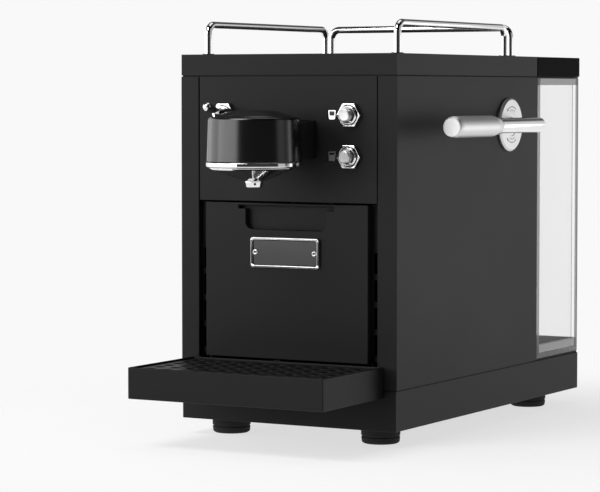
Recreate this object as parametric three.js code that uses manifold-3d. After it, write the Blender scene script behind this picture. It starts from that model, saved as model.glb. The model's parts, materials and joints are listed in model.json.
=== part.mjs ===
// Lever-operated pod coffee machine, as an assembly of separate pieces.
// Millimetres, +Z up. In the machine group x = 0 is the middle of the machine, y = 0 the
// front of the casing and z = 0 the underside of the base; the front faces -Y and the
// brewing lever is on the +X side. The root group moves all this so that the origin is
// the bottom centre of the whole object, with the feet standing on z = 0.

import * as THREE from 'three';
import { mergeVertices } from 'three/addons/utils/BufferGeometryUtils.js';
import Module from 'manifold-3d';

const wasm = await Module();
wasm.setup();

// ---- driving dimensions ----

const gap = 0.3; // clearance between pieces that touch on the real machine
const sheet = 1.5; // folded steel

const casing = { half: 82.5, depth: 299.5, front: 221.8, lidHalf: 82.1, baseHalf: 81.8 };
const level = { baseTop: 26.8, panelBottom: 27.6, panelTop: 232.7, lidBottom: 233.5, lidTop: 247.6 };
const foot = { radius: 13.2, height: 11, x: 57.8, rows: [25, 262] };
const rail = { radius: 2.5, bend: 6.5, top: 268, bottom: 240 };
const railPlace = { x: 72.5, front: 19.5, back: 185.9, rear: 195.4 };
const column = { inner: 68.3, lip: 5 };
const strip = { inner: 61.5, outer: 74, y: 5.3, slotInner: 62.9, slotOuter: 67.7, slots: 5 };
const slotStep = { pitch: 18.05, height: 14, lowest: 30.6 };
const panel = { half: 67.7, bottom: 149.2 };
const head = { y: -42.8, radius: 31, bottom: 177, top: 206, crown: 210.8, wall: 2.5 };
const neck = { half: 22, bottom: 179, top: 203, back: 15.7 };
const spout = { radius: 6, tip: 5.4, bore: 3, top: 172, step: 164.4, bottom: 160.4 };
const button = { x: 48, levels: [179.9, 207.2], barrel: 6.35, cap: 4.1, bore: 4.5, flats: 15.2 };
const light = { x: 34.2, width: 6, height: 6.5, drop: 0.1 };
const toggle = { x: -47.6, z: 207.3, pivotY: -1, length: 25.6, tilt: 13, barrel: 5.8, bore: 4.2 };
const nutFace = -3.3; // front of the three panel nuts

const lever = { y: 171.8, z: 199.3, x: 105.6, shaft: 5, rod: 5.25, grip: 7.15, swing: 84 };
const leverRun = { gripFront: 33.2, taper: 93.6, gripBack: 103.6, rodBack: 177, dome: 4.4 };
const plate = { radius: 18.85, thickness: 2.5, bevel: 0.8 };
const crank = { radius: 24, pin: 3, play: 0.9, inner: 8, outer: 15.7 };
const brewAxis = 190; // height of the capsule's axis
const cup = { radius: 21, front: 24, back: 55, mouth: 18.8, seat: 13, depth: 26 };
const frame = { inner: 24, outer: 27, front: 16, back: 205, bottom: 164, floor: 167, top: 212 };
const slot = { half: 20.5, front: 24.5, back: 55.5 };

const drawer = { half: 62, bottom: 43.8, top: 148.2, face: -1.5, back: 4.5 };
const scoop = { half: 30.8, bottom: 130.5, corner: 5, depth: 4.7 };
const fingerSlot = { half: 36.4, bottom: 144.2, top: 146.6 };
const bin = { half: 58, back: 112, bottom: 46, top: 143, wall: 2 };
const badge = { half: 26.2, bottom: 105.1, top: 125.5, corner: 2.2, frame: 1.8, thickness: 1.6 };
const tray = { half: 72.85, front: -82.3, back: -0.5, bottom: 21.8, top: 42.6, ledge: 39.6 };
const tongue = { inner: 63.2, outer: 67.4, back: 14, bottom: 31.6, top: 38 };
const grid = { pitchX: 12.4, pitchY: 12, columns: 11, rows: 6, lastRow: -12, hole: 3.7, sides: 8 };
const tank = { half: 81.8, front: 223.3, back: 299.4, bottom: 28.3, top: 232.2, wall: 3.4, corner: 2 };
const shelf = { front: 8.5, back: 122, bottom: 42.4, top: 44 };
const guide = { front: 96, back: 101 };
const boiler = { left: -70, right: -34, front: 130, back: 206, bottom: 102, top: 160 };
const boilerFin = { count: 5, first: 136, pitch: 15, depth: 5, reach: 2, drop: 4 };
const boilerPort = { x: -52, inletY: 140, outletY: 150, radius: 4, length: 8 };
const pumpAxis = { x: 34, z: 68, front: 132, back: 197 };
const board = { left: -79, right: -77.4, front: 125, back: 212, bottom: 36, top: 92 };
const hoseRadius = 3;
const valve = { y: 245, nipple: 5, outer: 8.7, inner: 6.4, top: 42 };

const leverOuter = lever.x + lever.grip;
const originX = (leverOuter - casing.half) / 2;
const originY = (casing.depth + tray.front) / 2;

// ---- finishes ----

const finish = (color, roughness, metalness, extra = {}) =>
  new THREE.MeshStandardMaterial({ color, roughness, metalness, ...extra });

const blackSteel = finish(0x2c2c2e, 0.6, 0.2);
const satinBlack = finish(0x1d1d1f, 0.4, 0.2);
const chrome = finish(0xdedfe2, 0.12, 1);
const brushedSteel = finish(0xc9c9c7, 0.35, 1);
const castAluminium = finish(0xa9abad, 0.5, 1);
const blackRubber = finish(0x19191a, 0.85, 0);
const blackPlastic = finish(0x242425, 0.5, 0);
const clearPlastic = finish(0xe4e8ea, 0.08, 0, { transparent: true, opacity: 0.3 });
const lampWhite = finish(0xf2f2ee, 0.4, 0);
const lampGrey = finish(0x6d6d6f, 0.5, 0);
const boardGreen = finish(0x1f5a38, 0.6, 0);
const hoseWhite = finish(0xd9d8d2, 0.5, 0);

// ---- shapes and solids ----

const degrees = THREE.MathUtils.degToRad;

function piece(name, geometry, material) {
  const mesh = new THREE.Mesh(geometry, material);
  mesh.name = name;
  return mesh;
}

// A closed geometry as a manifold, with shared corners merged and empty triangles dropped.
function solidOf(geometry) {
  const bare = geometry.clone();
  bare.deleteAttribute('normal');
  bare.deleteAttribute('uv');
  const merged = mergeVertices(bare, 1e-4);
  const kept = [];
  for (let i = 0; i < merged.index.count; i += 3) {
    const [a, b, c] = merged.index.array.slice(i, i + 3);
    if (a !== b && b !== c && c !== a) kept.push(a, b, c);
  }
  return new wasm.Manifold(new wasm.Mesh({
    numProp: 3,
    vertProperties: new Float32Array(merged.attributes.position.array),
    triVerts: new Uint32Array(kept),
  }));
}

function geometryOf(solid) {
  const mesh = solid.getMesh();
  const geometry = new THREE.BufferGeometry();
  geometry.setAttribute('position', new THREE.BufferAttribute(mesh.vertProperties, 3));
  geometry.setIndex(new THREE.BufferAttribute(mesh.triVerts, 1));
  geometry.computeVertexNormals();
  return geometry;
}

function cut(geometry, ...tools) {
  return geometryOf(tools.reduce((rest, tool) => rest.subtract(solidOf(tool)), solidOf(geometry)));
}

function join(...geometries) {
  return geometryOf(geometries.map(solidOf).reduce((whole, one) => whole.add(one)));
}

// A box by its [low, high] limits on each axis.
function block([x0, x1], [y0, y1], [z0, z1]) {
  const box = new THREE.BoxGeometry(x1 - x0, y1 - y0, z1 - z0);
  return box.translate((x0 + x1) / 2, (y0 + y1) / 2, (z0 + z1) / 2);
}

// The same box on the +X side (side = 1) or mirrored to the -X side (side = -1).
function sideBlock(side, [inner, outer], yLimits, zLimits) {
  const limits = side > 0 ? [inner, outer] : [-outer, -inner];
  return block(limits, yLimits, zLimits);
}

// Turns a geometry made about the Y axis so that it stands about the named axis.
function along(axis, geometry) {
  if (axis === 'x') geometry.rotateZ(-Math.PI / 2);
  if (axis === 'z') geometry.rotateX(Math.PI / 2);
  return geometry;
}

// A round bar along an axis between two limits; place is the centre line's point.
function bar(axis, radius, [from, to], place, sides = 24) {
  const cylinder = new THREE.CylinderGeometry(radius, radius, to - from, sides);
  return along(axis, cylinder.translate(0, (from + to) / 2, 0)).translate(...place);
}

// A turned piece: [radius, distance along the axis] points, wound so that it faces out.
function turned(axis, outline, place, sides = 32) {
  const points = outline.map(([radius, distance]) => new THREE.Vector2(radius, distance));
  const area = THREE.ShapeUtils.area(points);
  if (area < 0) points.reverse();
  return along(axis, new THREE.LatheGeometry(points, sides)).translate(...place);
}

// Points of an arc in a turned outline, from one angle to another in degrees.
function arc(centreRadius, centreDistance, radius, from, to, steps) {
  const points = [];
  for (let i = 0; i <= steps; i++) {
    const angle = degrees(from + ((to - from) * i) / steps);
    points.push([centreRadius + radius * Math.cos(angle), centreDistance + radius * Math.sin(angle)]);
  }
  return points;
}

function outlineShape(points) {
  return new THREE.Shape(points.map(([a, b]) => new THREE.Vector2(a, b)));
}

// A rectangle with rounded corners; a radius of 0 keeps them square.
function rectangle([a0, a1], [b0, b1], radius = 0, target = new THREE.Shape()) {
  if (radius === 0) {
    target.moveTo(a0, b0);
    target.lineTo(a1, b0);
    target.lineTo(a1, b1);
    target.lineTo(a0, b1);
    target.closePath();
    return target;
  }
  target.moveTo(a0 + radius, b0);
  target.absarc(a1 - radius, b0 + radius, radius, -Math.PI / 2, 0);
  target.absarc(a1 - radius, b1 - radius, radius, 0, Math.PI / 2);
  target.absarc(a0 + radius, b1 - radius, radius, Math.PI / 2, Math.PI);
  target.absarc(a0 + radius, b0 + radius, radius, Math.PI, Math.PI * 1.5);
  target.closePath();
  return target;
}

function circle(a, b, radius) {
  return new THREE.Path().absarc(a, b, radius, 0, Math.PI * 2);
}

function hexagon(a, b, acrossFlats) {
  const corner = acrossFlats / 2 / Math.cos(Math.PI / 6);
  const points = [0, 1, 2, 3, 4, 5].map((i) => degrees(60 * i));
  return outlineShape(points.map((t) => [a + corner * Math.cos(t), b + corner * Math.sin(t)]));
}

function extrude(shape, depth, curveSegments) {
  return new THREE.ExtrudeGeometry(shape, { depth, curveSegments, bevelEnabled: false });
}

// A shape drawn in x and z, given thickness between two y limits.
function frontal(shape, [y0, y1], curveSegments = 8) {
  return extrude(shape, y1 - y0, curveSegments).rotateX(Math.PI / 2).translate(0, y1, 0);
}

// A shape drawn in x and y, given height between two z limits.
function upright(shape, [z0, z1], curveSegments = 3) {
  return extrude(shape, z1 - z0, curveSegments).translate(0, 0, z0);
}

// A round tube along a curve.
function tubeAlong(curve, radius, steps, sides = 8) {
  const ring = [];
  for (let i = 0; i < sides; i++) {
    const angle = (2 * Math.PI * i) / sides;
    ring.push([radius * Math.cos(angle), radius * Math.sin(angle)]);
  }
  return new THREE.ExtrudeGeometry(outlineShape(ring), { steps, extrudePath: curve });
}

function hose(name, points, radius) {
  const curve = new THREE.CatmullRomCurve3(points.map((p) => new THREE.Vector3(...p)));
  const steps = Math.ceil(curve.getLength() / (radius * 5));
  return piece(name, tubeAlong(curve, radius, steps), hoseWhite);
}

// ---- base, feet and casing ----

function basePan() {
  const { baseHalf, depth } = casing;
  const outer = block([-baseHalf, baseHalf], [0, depth], [0, level.baseTop]);
  const inner = baseHalf - sheet;
  const pocket = block([-inner, inner], [sheet, depth - sheet], [2, level.baseTop + 5]);
  const inletHole = block([-14.3, 14.3], [depth - 3, depth + 1], [3, 23]);
  return piece('base_pan', cut(outer, pocket, inletHole), blackSteel);
}

function mainsInlet() {
  const back = casing.depth - 0.1;
  const body = block([-14, 14], [back - 24, back], [3.3, 22.7]);
  const socket = block([-12, 12], [back - 15, back + 1], [5, 21]);
  return piece('mains_inlet', cut(body, socket), blackPlastic);
}

function feet() {
  const { radius, height, x, rows } = foot;
  const outline = [
    [0, -height], [radius - 1, -height], [radius, -height + 1.4], [radius, -gap], [0, -gap],
  ];
  const names = { '-1': 'left', 1: 'right' };
  const made = [];
  for (const side of [-1, 1]) {
    rows.forEach((y, i) => {
      const name = `foot_${['front', 'rear'][i]}_${names[side]}`;
      made.push(piece(name, turned('z', outline, [side * x, y, 0], 20), blackRubber));
    });
  }
  return made;
}

// A side sheet folded round the front into a column, with a lip turned back.
function sidePanel(side) {
  const outer = casing.half;
  const { inner, lip } = column;
  const outline = [
    [inner, 0], [outer, 0], [outer, casing.front], [outer - sheet, casing.front],
    [outer - sheet, sheet], [inner + sheet, sheet], [inner + sheet, lip], [inner, lip],
  ];
  const shape = outlineShape(outline.map(([x, y]) => [side * x, y]));
  const panelBody = upright(shape, [level.panelBottom, level.panelTop]);
  if (side < 0) return piece('left_side_panel', panelBody, blackSteel);
  const shaftHole = bar('x', lever.shaft + 1.5, [outer - 5, outer + 5], [0, lever.y, lever.z]);
  return piece('right_side_panel', cut(panelBody, shaftHole), blackSteel);
}

function frontPanel() {
  const shape = rectangle([-panel.half, panel.half], [panel.bottom, level.panelTop]);
  const clear = gap + 0.05;
  shape.holes.push(circle(toggle.x, toggle.z, toggle.barrel + clear));
  for (const z of button.levels) {
    const [w, h] = [light.width / 2 + gap, light.height / 2 + gap];
    const middle = z + light.drop;
    shape.holes.push(circle(button.x, z, button.barrel + clear));
    shape.holes.push(rectangle([light.x - w, light.x + w], [middle - h, middle + h], 0, new THREE.Path()));
  }
  const neckHole = [neck.half + gap, neck.bottom - gap, neck.top + gap];
  const [half, low, high] = neckHole;
  shape.holes.push(rectangle([-half, half], [low, high], 0, new THREE.Path()));
  return piece('front_panel', frontal(shape, [0, sheet], 10), blackSteel);
}

// A strip behind each front column, with a ladder of slots that the drip tray hooks into.
function hookStrip(side) {
  const span = (a, b) => (side > 0 ? [a, b] : [-b, -a]);
  const shape = rectangle(span(strip.inner, strip.outer), [level.panelBottom + 0.4, panel.bottom - 0.7]);
  for (let i = 0; i < strip.slots; i++) {
    const low = slotStep.lowest + i * slotStep.pitch;
    const opening = rectangle(
      span(strip.slotInner, strip.slotOuter), [low, low + slotStep.height], 0, new THREE.Path());
    shape.holes.push(opening);
  }
  const name = side > 0 ? 'right_hook_strip' : 'left_hook_strip';
  return piece(name, frontal(shape, [strip.y, strip.y + sheet]), blackSteel);
}

function topLid() {
  const half = casing.lidHalf;
  const { lidBottom, lidTop } = level;
  const outer = block([-half, half], [0, casing.front], [lidBottom, lidTop]);
  const inner = half - sheet;
  const hollow = block([-inner, inner], [sheet, casing.front - sheet], [lidBottom - 1, lidTop - sheet]);
  const capsuleSlot = block([-slot.half, slot.half], [slot.front, slot.back], [lidTop - 3, lidTop + 1]);
  const posts = railPosts().map(([x, y]) =>
    bar('z', rail.radius + 0.4, [lidTop - 3, lidTop + 1], [x, y, 0], 12));
  return piece('top_lid', cut(outer, hollow, capsuleSlot, ...posts), blackSteel);
}

function railPosts() {
  const { x, front, back, rear } = railPlace;
  return [[-x, front], [-x, back], [x, front], [x, back], [-x, rear], [x, rear]];
}

// A cup rail: two posts and a straight top bar with rounded bends between them.
function cupRail(name, start, end) {
  const { bend, top, bottom } = rail;
  const from = new THREE.Vector3(...start, top);
  const to = new THREE.Vector3(...end, top);
  const run = to.clone().sub(from).normalize().multiplyScalar(bend);
  const below = (corner, drop) => corner.clone().setZ(top - drop);
  const path = new THREE.CurvePath();
  path.add(new THREE.LineCurve3(from.clone().setZ(bottom), below(from, bend)));
  path.add(new THREE.QuadraticBezierCurve3(below(from, bend), from, from.clone().add(run)));
  path.add(new THREE.LineCurve3(from.clone().add(run), to.clone().sub(run)));
  path.add(new THREE.QuadraticBezierCurve3(to.clone().sub(run), to, below(to, bend)));
  path.add(new THREE.LineCurve3(below(to, bend), to.clone().setZ(bottom)));
  return piece(name, tubeAlong(path, rail.radius, 36), chrome);
}

function cupRails() {
  const { x, front, back, rear } = railPlace;
  return [
    cupRail('left_cup_rail', [-x, front], [-x, back]),
    cupRail('right_cup_rail', [x, front], [x, back]),
    cupRail('rear_cup_rail', [-x, rear], [x, rear]),
  ];
}

function rearBulkhead() {
  const half = casing.half - sheet - gap;
  const thickness = [casing.front - 2, casing.front - gap];
  const wall = block([-half, half], thickness, [level.panelBottom, level.panelTop]);
  return piece('rear_bulkhead', wall, blackSteel);
}

// Deck that the water tank stands on, with the nipple that opens its valve.
function tankDock() {
  const half = casing.baseHalf - sheet - gap;
  const deck = block([-half, half], [tank.front, casing.depth - sheet - gap], [24.3, 27]);
  const nipple = bar('z', valve.nipple, [20, 34], [0, valve.y, 0], 20);
  const spigot = bar('z', valve.nipple - 1.5, [18, 22], [0, valve.y, 0], 16);
  return piece('tank_dock', join(deck, nipple, spigot), blackPlastic);
}

function drawerShelf() {
  const half = casing.half - sheet - gap;
  const { front, back, bottom, top } = shelf;
  return piece('drawer_shelf', block([-half, half], [front, back], [bottom, top]), blackSteel);
}

// ---- brew head ----

function brewHead() {
  const { y, radius, bottom, top, crown, wall } = head;
  const place = [0, y, 0];
  const shoulder = 4;
  const inner = radius - wall;
  const cap = [
    [inner, bottom], [radius, bottom], ...arc(radius - 1 - shoulder, top - shoulder, shoulder, 0, 90, 3),
    [radius * 0.45, crown - 0.6], [0, crown], [0, crown - wall], [inner - shoulder, top - wall],
    [inner - 1, top - shoulder], [inner, bottom],
  ];
  const rimBottom = bottom - gap - 3;
  const rim = [
    [28, rimBottom], [radius - 0.2, rimBottom], [radius + 0.5, rimBottom + 0.7],
    [radius + 0.5, bottom - gap - 0.7], [radius - 0.2, bottom - gap], [28, bottom - gap], [28, rimBottom],
  ];
  const hole = spout.radius + 0.4;
  const lip = rimBottom - gap;
  const funnel = [
    [hole, lip - 8.6], [hole + 1.5, lip - 8.6], [28.5, lip - 2], [30, lip - 0.8], [30, lip],
    [27.6, lip], [hole, lip - 6.8], [hole, lip - 8.6],
  ];
  const nozzle = [
    [spout.bore, spout.bottom], [spout.tip - 0.6, spout.bottom], [spout.tip, spout.bottom + 0.6],
    [spout.tip, spout.step], [spout.radius, spout.step + 0.6], [spout.radius, spout.top],
    [spout.bore, spout.top], [spout.bore, spout.bottom],
  ];
  return [
    piece('head_cap', turned('z', cap, place, 32), satinBlack),
    piece('head_rim', turned('z', rim, place, 32), chrome),
    piece('head_funnel', turned('z', funnel, place, 32), chrome),
    piece('spout', turned('z', nozzle, place, 20), chrome),
  ];
}

// The neck carries the head and the coffee duct from the brew chamber.
function headNeck() {
  const arm = block([-neck.half, neck.half], [head.y, neck.back], [neck.bottom, neck.top]);
  const round = bar('z', head.radius + 0.4, [neck.bottom - 5, neck.top + 5], [0, head.y, 0], 40);
  const duct = bar('y', 3, [head.y, neck.back + 5], [0, 0, brewAxis], 12);
  return piece('head_neck', cut(arm, round, duct), blackSteel);
}

// ---- buttons, lights and power toggle ----

function panelNut(name, x, z, flats, hole) {
  const shape = hexagon(x, z, flats);
  shape.holes.push(circle(x, z, hole));
  return piece(name, frontal(shape, [nutFace, -gap], 10), chrome);
}

function fixedButtonParts() {
  const { x, levels, barrel, bore, flats } = button;
  const front = -5;
  const back = 18;
  const blind = 4;
  const outline = [
    [0, blind], [bore, blind], [bore, front], [barrel - 0.5, front], [barrel, front + 0.6],
    [barrel, back], [0, back],
  ];
  return levels.flatMap((z, i) => {
    const which = ['lower', 'upper'][i];
    const [w, h] = [light.width / 2, light.height / 2];
    const middle = z + light.drop;
    const lamp = block([light.x - w, light.x + w], [0.1, sheet], [middle - h, middle + h]);
    return [
      piece(`${which}_button_body`, turned('y', outline, [x, 0, z], 24), chrome),
      panelNut(`${which}_button_nut`, x, z, flats, barrel + gap + 0.05),
      piece(`${which}_button_light`, lamp, i ? lampWhite : lampGrey),
    ];
  });
}

function buttonCap(i) {
  const front = -9.6;
  const back = 1.6;
  const outline = [
    [0, front], [button.cap - 0.8, front + 0.1], [button.cap, front + 0.8], [button.cap, back], [0, back],
  ];
  const name = `${['lower', 'upper'][i]}_button_cap`;
  return piece(name, turned('y', outline, [button.x, 0, button.levels[i]], 24), brushedSteel);
}

function toggleMount() {
  const { x, z, barrel, bore } = toggle;
  const front = -7;
  const back = 16;
  const outline = [
    [0, 5], [bore, 5], [bore, front], [barrel - 0.4, front], [barrel, front + 0.5],
    [barrel, back], [0, back],
  ];
  return [
    piece('toggle_bushing', turned('y', outline, [x, 0, z], 24), chrome),
    panelNut('toggle_nut', x, z, 15, barrel + gap + 0.05),
  ];
}

// Bat-shaped handle on a ball, tilted up from its pivot inside the bushing.
function toggleLever() {
  const { length } = toggle;
  const ball = 3.3;
  const stem = 1.9;
  const bat = 3.1;
  const outline = [
    ...arc(0, 0, ball, -90, 50, 4), [stem, 7], [bat, length - bat],
    ...arc(0, length - bat, bat, 30, 90, 3),
  ];
  outline[0][0] = 0;
  outline[outline.length - 1][0] = 0;
  const mesh = piece('toggle_lever', turned('y', outline, [0, 0, 0], 16), chrome);
  mesh.position.set(toggle.x, toggle.pivotY, toggle.z);
  mesh.rotation.x = Math.PI - degrees(toggle.tilt);
  return mesh;
}

// ---- brewing lever and plunger ----

function leverPlate() {
  const from = casing.half + gap;
  const to = from + plate.thickness;
  const hole = lever.shaft + 0.4;
  const outline = [
    [hole, from], [plate.radius, from], [plate.radius, to - plate.bevel], [plate.radius - plate.bevel, to],
    [hole, to], [hole, from],
  ];
  return piece('lever_plate', turned('x', outline, [0, lever.y, lever.z], 32), brushedSteel);
}

// Cross shaft, with the crank arm and pin that drive the plunger inside the casing.
function leverShaft() {
  const centre = [0, lever.y, lever.z];
  const swingStart = degrees(lever.swing / 2);
  const shaft = bar('x', lever.shaft, [crank.inner, lever.x], centre);
  const arm = block([crank.inner, crank.outer], [-6, 6], [0, crank.radius]);
  arm.rotateX(swingStart).translate(...centre);
  const pinPlace = [0, crankPinY(), lever.z + crank.radius * Math.cos(swingStart)];
  const end = bar('x', 6, [crank.inner, crank.outer], pinPlace);
  const pin = bar('x', crank.pin, [-6, crank.inner + 2], pinPlace, 16);
  const cope = bar('y', lever.rod + gap, [lever.y - 20, lever.y + 20], [lever.x, 0, lever.z]);
  return piece('lever_shaft', cut(join(shaft, arm, end, pin), cope), brushedSteel);
}

function crankPinY() {
  return lever.y - crank.radius * Math.sin(degrees(lever.swing / 2));
}

function leverRod() {
  const { gripBack, rodBack, dome } = leverRun;
  const outline = [
    [0, gripBack + gap], [lever.rod, gripBack + gap], [lever.rod, rodBack - dome],
    [lever.rod * 0.8, rodBack - dome * 0.4], [lever.rod * 0.4, rodBack - dome * 0.08], [0, rodBack],
  ];
  return piece('lever_rod', turned('y', outline, [lever.x, 0, lever.z], 24), chrome);
}

function leverGrip() {
  const { gripFront, taper, gripBack } = leverRun;
  const outline = [
    [0, gripFront], [lever.grip - 0.5, gripFront], [lever.grip, gripFront + 0.5], [lever.grip, taper],
    [lever.rod, gripBack], [0, gripBack],
  ];
  return piece('lever_grip', turned('y', outline, [lever.x, 0, lever.z], 24), brushedSteel);
}

// Channel that holds the brew chamber, with the shaft's inner bearing in its right wall.
function brewFrame() {
  const { inner, outer, front, back, bottom, floor, top } = frame;
  const channel = block([-outer, outer], [front, back], [bottom, top]);
  const inside = block([-inner, inner], [front - 1, back + 1], [floor, top + 1]);
  const dropHole = block([-slot.half, slot.half], [slot.front, cup.back + 5], [bottom - 1, floor + 1]);
  const bearing = bar('x', lever.shaft + gap, [inner - 1, outer + 1], [0, lever.y, lever.z]);
  return piece('brew_frame', cut(channel, inside, dropHole, bearing), brushedSteel);
}

function piercePlate() {
  const outline = [[3, 18], [21.6, 18], [21.6, 23.6], [3, 23.6], [3, 18]];
  return piece('pierce_plate', turned('y', outline, [0, 0, brewAxis], 32), brushedSteel);
}

function capsuleChute() {
  const top = level.lidTop - sheet - gap;
  const outer = block([-slot.half - 2, slot.half + 2], [slot.front - 2, slot.back + 2], [frame.top, top]);
  const way = block(
    [-slot.half - gap, slot.half + gap], [slot.front - gap, slot.back + gap], [frame.top - 1, top + 1]);
  return piece('capsule_chute', cut(outer, way), blackPlastic);
}

function plungerCup() {
  const { radius, front, back, mouth, seat, depth } = cup;
  const outline = [
    [0, front + depth], [seat, front + depth], [mouth, front], [radius, front], [radius, back], [0, back],
  ];
  return piece('plunger_cup', turned('y', outline, [0, 0, brewAxis], 32), castAluminium);
}

// Plunger rod with an upright yoke; the crank pin rides in the yoke's slot.
function plungerRod() {
  const middle = crankPinY();
  const slotHalf = crank.pin + crank.play;
  const lowest = lever.z + crank.radius * Math.cos(degrees(lever.swing / 2)) - slotHalf;
  const highest = lever.z + crank.radius + slotHalf;
  const rod = bar('y', 5, [cup.back + gap, middle - 6], [0, 0, brewAxis]);
  const yoke = block([-3, 3], [middle - 8, middle + 8], [brewAxis - 6, highest + 3]);
  const pinSlot = block([-4, 4], [middle - slotHalf, middle + slotHalf], [lowest, highest]);
  return piece('plunger_rod', cut(join(rod, yoke), pinSlot), brushedSteel);
}

function rodGuide() {
  const half = frame.inner - gap;
  const wall = block([-half, half], [guide.front, guide.back], [frame.floor + gap, frame.top - 1]);
  const bore = bar('y', 5 + gap, [guide.front - 1, guide.back + 1], [0, 0, brewAxis]);
  return piece('rod_guide', cut(wall, bore), blackPlastic);
}

// ---- water system and electronics ----

function thermoblock() {
  const { left, right, front, back, bottom, top } = boiler;
  const { count, first, pitch, depth, reach, drop } = boilerFin;
  const { x, inletY, outletY, radius, length } = boilerPort;
  const body = block([left, right], [front, back], [bottom, top]);
  const fins = Array.from({ length: count }, (_, i) => {
    const start = first + i * pitch;
    return block([left - reach, right + reach], [start, start + depth], [bottom + drop, top - drop]);
  });
  const inlet = bar('z', radius, [bottom - length, bottom + 2], [x, inletY, 0], 16);
  const outlet = bar('z', radius, [top - 2, top + length], [x, outletY, 0], 16);
  return piece('thermoblock', join(body, ...fins, inlet, outlet), castAluminium);
}

function pump() {
  const { x, z, front, back } = pumpAxis;
  const outline = [
    [0, front], [4, front], [4, front + 6], [12, front + 6], [12, front + 12], [22, front + 12],
    [22, back - 15], [14, back - 15], [14, back - 7], [4, back - 7], [4, back], [0, back],
  ];
  return piece('pump', turned('y', outline, [x, 0, z], 24), blackPlastic);
}

function controlBoard() {
  const { left, right, front, back, bottom, top } = board;
  const sheetOfBoard = block([left, right], [front, back], [bottom, top]);
  const parts = [[7, 24, 18, 20, 9], [33, 8, 14, 14, 6], [55, 28, 22, 16, 12], [65, 6, 12, 12, 5]]
    .map(([y, z, w, h, tall]) => block(
      [right - 0.6, right + tall], [front + y, front + y + w], [bottom + z, bottom + z + h]));
  return piece('control_board', join(sheetOfBoard, ...parts), boardGreen);
}

// Each hose runs straight out of its first port and straight into its last.
function hoses() {
  const { x, z, front, back } = pumpAxis;
  const { x: portX, inletY, outletY, length } = boilerPort;
  const under = boiler.bottom - length;
  const over = boiler.top + length;
  const guideY = (guide.front + guide.back) / 2;
  return [
    hose('tank_hose', [
      [0, valve.y, 17.6], [0, valve.y, 14], [0, 240, 8], [2, 228, 7], [8, 214, 14], [20, 210, 40],
      [32, 210, 60], [x, back + 8, z], [x, back + 4, z], [x, back + 0.4, z],
    ], hoseRadius),
    hose('pressure_hose', [
      [x, front - 0.4, z], [x, front - 4, z], [28, 121, 71], [6, 120, 78], [-22, 122, 80],
      [-46, 132, 80], [portX, inletY, under - 8], [portX, inletY, under - 4], [portX, inletY, under - 0.4],
    ], hoseRadius),
    hose('brew_hose', [
      [portX, outletY, over + 0.4], [portX, outletY, over + 8], [-50, 144, 204], [-36, 122, 221],
      [-10, 100, 224], [0, guideY, 220], [0, guideY, 215], [0, guideY, frame.top - 0.6],
    ], hoseRadius),
  ];
}

// ---- used-capsule drawer ----

function drawerFront() {
  const { half, bottom, top, face, back } = drawer;
  const slab = block([-half, half], [face, back], [bottom, top]);
  const { corner, depth } = scoop;
  const shape = new THREE.Shape();
  shape.moveTo(-fingerSlot.half, fingerSlot.top);
  shape.lineTo(-fingerSlot.half, fingerSlot.bottom);
  shape.lineTo(-scoop.half, fingerSlot.bottom);
  shape.absarc(-scoop.half + corner, scoop.bottom + corner, corner, Math.PI, Math.PI * 1.5);
  shape.absarc(scoop.half - corner, scoop.bottom + corner, corner, -Math.PI / 2, 0);
  shape.lineTo(scoop.half, fingerSlot.bottom);
  shape.lineTo(fingerSlot.half, fingerSlot.bottom);
  shape.lineTo(fingerSlot.half, fingerSlot.top);
  return piece('drawer_front', cut(slab, frontal(shape, [face - 1, face + depth], 4)), blackSteel);
}

function capsuleBin() {
  const { half, back, bottom, top, wall } = bin;
  const front = drawer.back + gap;
  const outer = block([-half, half], [front, back], [bottom, top]);
  const inside = block([-half + wall, half - wall], [front + wall, back - wall], [bottom + wall, top + 1]);
  return piece('capsule_bin', cut(outer, inside), blackPlastic);
}

function badgeParts() {
  const { half, bottom, top, corner, thickness } = badge;
  const back = drawer.face - gap;
  const inner = half - badge.frame;
  const [low, high] = [bottom + badge.frame, top - badge.frame];
  const ring = rectangle([-half, half], [bottom, top], corner);
  ring.holes.push(rectangle([-inner, inner], [low, high], 1, new THREE.Path()));
  const field = rectangle([-inner + gap, inner - gap], [low + gap, high - gap], 0.8);
  return [
    piece('badge_frame', frontal(ring, [back - thickness, back], 3), chrome),
    piece('badge_field', frontal(field, [back - thickness / 2, back], 3), satinBlack),
  ];
}

// ---- drip tray ----

function dripTray() {
  const { half, front, back, bottom, top, ledge } = tray;
  const outer = block([-half, half], [front, back], [bottom, top]);
  const rim = block([-half + sheet, half - sheet], [front + sheet, back - sheet], [ledge, top + 1]);
  const wall = 3;
  const well = block([-half + wall, half - wall], [front + wall, back - wall], [bottom + sheet, top + 1]);
  const { inner, outer: far } = tongue;
  const tongues = [-1, 1].map((side) =>
    sideBlock(side, [inner, far], [back - 1, tongue.back], [tongue.bottom, tongue.top]));
  return piece('drip_tray', join(cut(outer, rim, well), ...tongues), blackSteel);
}

function dripGrid() {
  const edge = sheet + gap;
  const shape = rectangle([-tray.half + edge, tray.half - edge], [tray.front + edge, tray.back - edge], 1);
  const middle = (grid.columns - 1) / 2;
  for (let row = 0; row < grid.rows; row++) {
    for (let column = 0; column < grid.columns; column++) {
      const x = (column - middle) * grid.pitchX;
      const y = grid.lastRow - row * grid.pitchY;
      shape.holes.push(outlineShape(ringPoints(x, y, grid.hole, grid.sides)));
    }
  }
  const low = tray.ledge + gap;
  return piece('drip_grid', upright(shape, [low, low + sheet]), blackSteel);
}

function ringPoints(x, y, radius, sides) {
  const points = [];
  for (let i = 0; i < sides; i++) {
    const angle = (2 * Math.PI * (i + 0.5)) / sides;
    points.push([x + radius * Math.cos(angle), y + radius * Math.sin(angle)]);
  }
  return points;
}

// ---- water tank ----

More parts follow.
